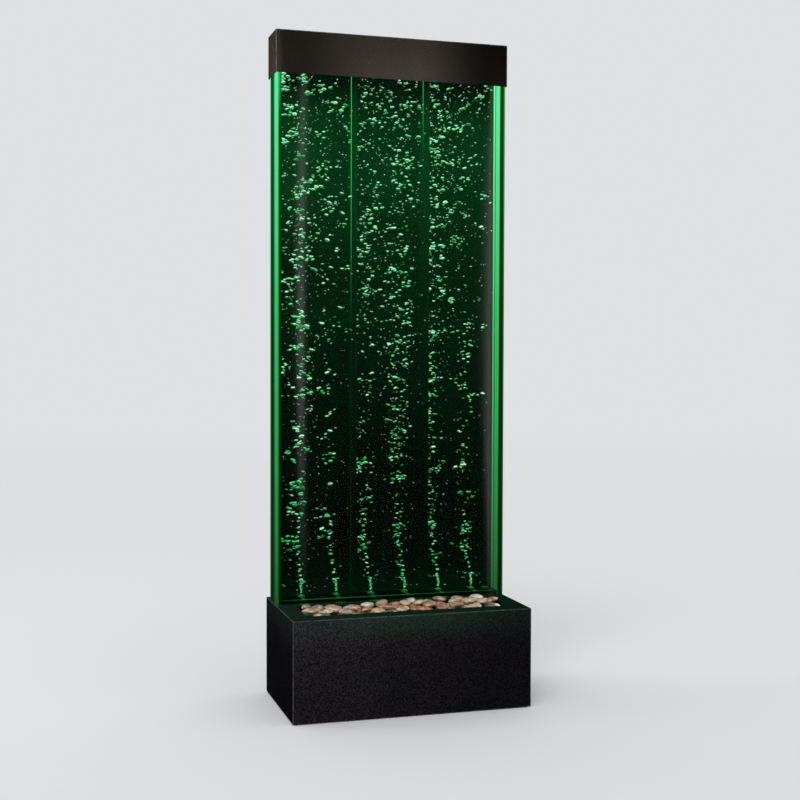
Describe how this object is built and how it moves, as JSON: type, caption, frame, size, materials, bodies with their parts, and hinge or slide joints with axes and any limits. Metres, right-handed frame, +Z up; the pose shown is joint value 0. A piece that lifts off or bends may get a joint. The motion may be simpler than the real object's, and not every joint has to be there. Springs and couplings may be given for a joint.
{
  "type": "bubble wall lamp",
  "caption": "Floor-standing bubble wall: edge-lit water tank with dividers and air nozzles on a folded steel base with a pebble tray, under a lift-off steel header.",
  "frame": {"origin": "on the floor under the middle of the base", "axes": "+X to the viewer's right, -Y out of the front with the pebble tray, +Z up along the tank"},
  "size_m": [0.664, 0.36, 1.83],
  "materials": {
    "black_powder_coat": "satin black fine-grained powder coat",
    "clear_acrylic": "polished clear acrylic",
    "mirror_acrylic": "polished black acrylic",
    "lit_acrylic": "edge-lit clear acrylic, polished",
    "tank_water": "water lit green",
    "river_stone": "polished mixed river pebbles",
    "black_rubber": "matt black rubber",
    "clear_silicone": "translucent silicone hose",
    "black_plastic": "moulded black plastic",
    "grey_plastic": "moulded grey plastic",
    "zinc_steel": "zinc-plated steel",
    "bar_aluminium": "extruded aluminium",
    "opal_lens": "opal diffusing lens",
    "tap_brass": "turned brass"
  },
  "bodies": {
    "wall": {"base_housing": "black_powder_coat", "base_plate": "black_powder_coat", "pebble_tray": "black_powder_coat", "service_panel": "black_powder_coat", "front_pane": "clear_acrylic", "divider_left": "clear_acrylic", "divider_right": "clear_acrylic", "back_pane": "mirror_acrylic", "side_bar_left": "lit_acrylic", "side_bar_right": "lit_acrylic", "tank_floor": "lit_acrylic", "water": "tank_water", "pebbles": "river_stone", "foot_1": "black_rubber", "foot_2": "black_rubber", "foot_3": "black_rubber", "foot_4": "black_rubber", "pump_base": "black_rubber", "air_tube_1": "clear_silicone", "air_tube_2": "clear_silicone", "air_tube_3": "clear_silicone", "air_tube_4": "clear_silicone", "air_tube_5": "clear_silicone", "air_tube_6": "clear_silicone", "pump_tube": "clear_silicone", "manifold_tube": "clear_silicone", "drain_hose": "clear_silicone", "air_nozzle_1": "black_plastic", "air_nozzle_2": "black_plastic", "air_nozzle_3": "black_plastic", "air_nozzle_4": "black_plastic", "air_nozzle_5": "black_plastic", "air_nozzle_6": "black_plastic", "pump_cover": "black_plastic", "control_box": "black_plastic", "control_box_lid": "black_plastic", "switch_frame": "black_plastic", "power_inlet": "black_plastic", "light_lead": "black_plastic", "pump_lead": "black_plastic", "inlet_lead": "black_plastic", "switch_lead": "black_plastic", "drain_fitting": "grey_plastic", "air_manifold": "grey_plastic", "check_valve": "grey_plastic", "rear_bracket_left": "zinc_steel", "rear_bracket_right": "zinc_steel", "rail_front": "zinc_steel", "rail_back": "zinc_steel", "thumb_screw_left": "zinc_steel", "thumb_screw_right": "zinc_steel", "light_bar_front": "bar_aluminium", "light_bar_back": "bar_aluminium", "light_lens_front": "opal_lens", "light_lens_back": "opal_lens", "drain_tap": "tap_brass"},
    "header": {"header": "black_powder_coat", "header_pad": "black_rubber"},
    "rocker": {"power_rocker": "black_plastic"},
    "tap_handle": {"drain_tap_handle": "black_plastic"}
  },
  "joints": [
    {"name": "header_lift", "type": "slide", "parent": "wall", "child": "header", "axis": [0, 0, 1], "range_m": [0, 0.12]},
    {"name": "switch_tip", "type": "hinge", "parent": "wall", "child": "rocker", "pos_m": [0.069, 0.1486, 0.165], "axis": [1, 0, 0], "range_deg": [0, 24]},
    {"name": "tap_turn", "type": "hinge", "parent": "wall", "child": "tap_handle", "pos_m": [0.234, 0.1694, 0.092], "axis": [0, 1, 0], "range_deg": [0, 90]}
  ]
}
